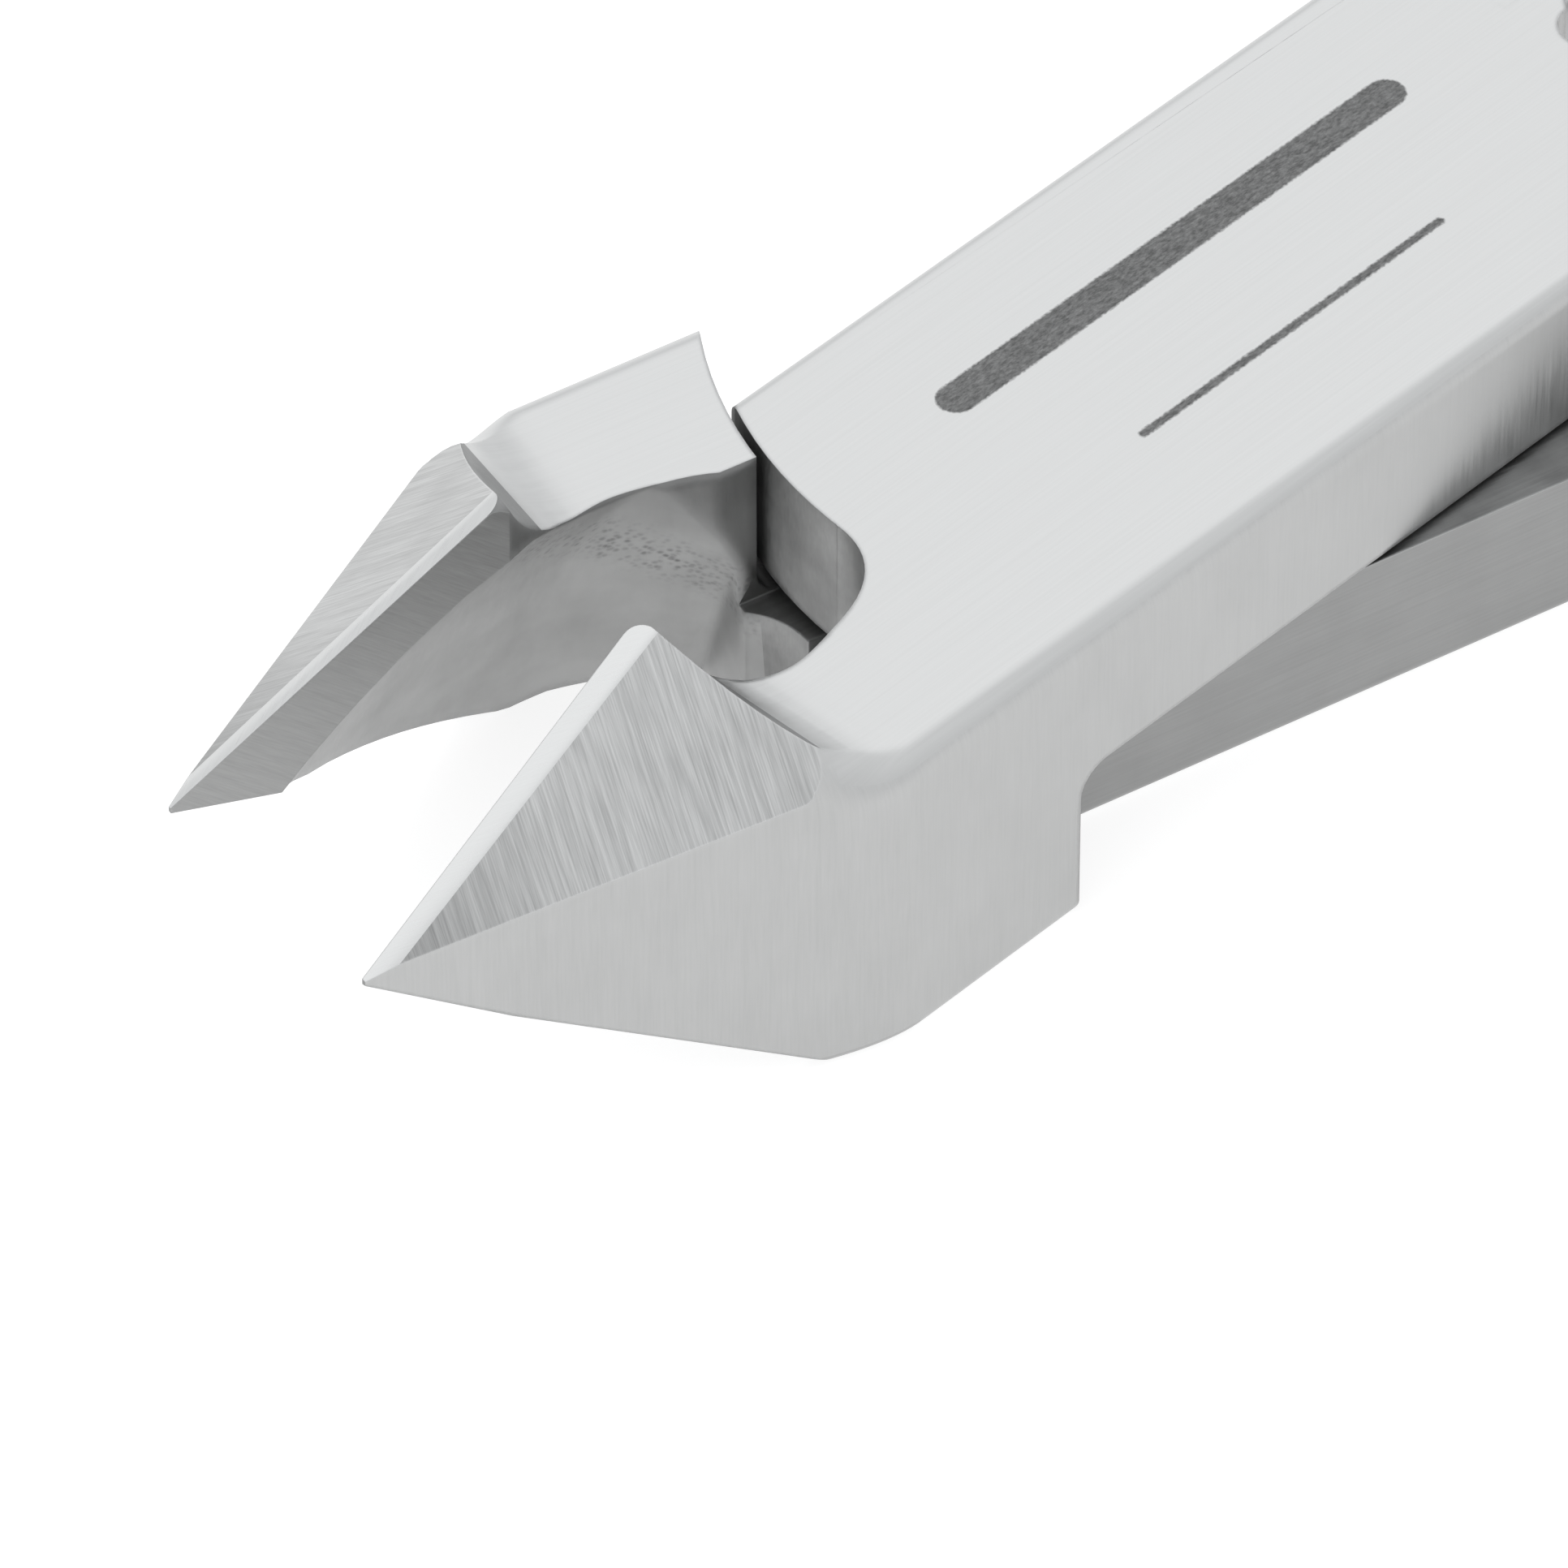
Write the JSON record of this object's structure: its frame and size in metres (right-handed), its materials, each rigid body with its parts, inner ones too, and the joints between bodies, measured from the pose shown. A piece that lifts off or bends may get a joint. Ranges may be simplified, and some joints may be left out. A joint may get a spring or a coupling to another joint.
{
  "type": "precision nippers",
  "caption": "Small lap-joint nippers with short angled cutting jaws, a blind pivot rivet, slim curved handles and double leaf springs.",
  "frame": {"origin": "on the pivot axis, in the plane that the tool lies on", "axes": "+Z along the pivot axis, up through the upper lever; -Y towards the tips; the handles run back along +Y"},
  "size_m": [0.0392, 0.1008, 0.007],
  "materials": {
    "lever_steel": "satin brushed stainless steel, ground facets on the jaws",
    "spring_steel": "polished spring steel",
    "screw_steel": "bright turned steel"
  },
  "bodies": {
    "upper_lever": {"upper_lever": "lever_steel", "upper_spring_leaf": "spring_steel", "upper_spring_screw": "screw_steel", "pivot_rivet": "screw_steel"},
    "lower_lever": {"lower_lever": "lever_steel", "lower_spring_leaf": "spring_steel", "lower_spring_screw": "screw_steel"}
  },
  "joints": [
    {"name": "pivot", "type": "hinge", "parent": "upper_lever", "child": "lower_lever", "pos_m": [0, 0, 0.00266], "axis": [0, 0, 1], "range_deg": [-4, 14.2], "stiffness_Nm_per_rad": 1.5, "deforming": ["upper_spring_leaf", "lower_spring_leaf"]}
  ]
}
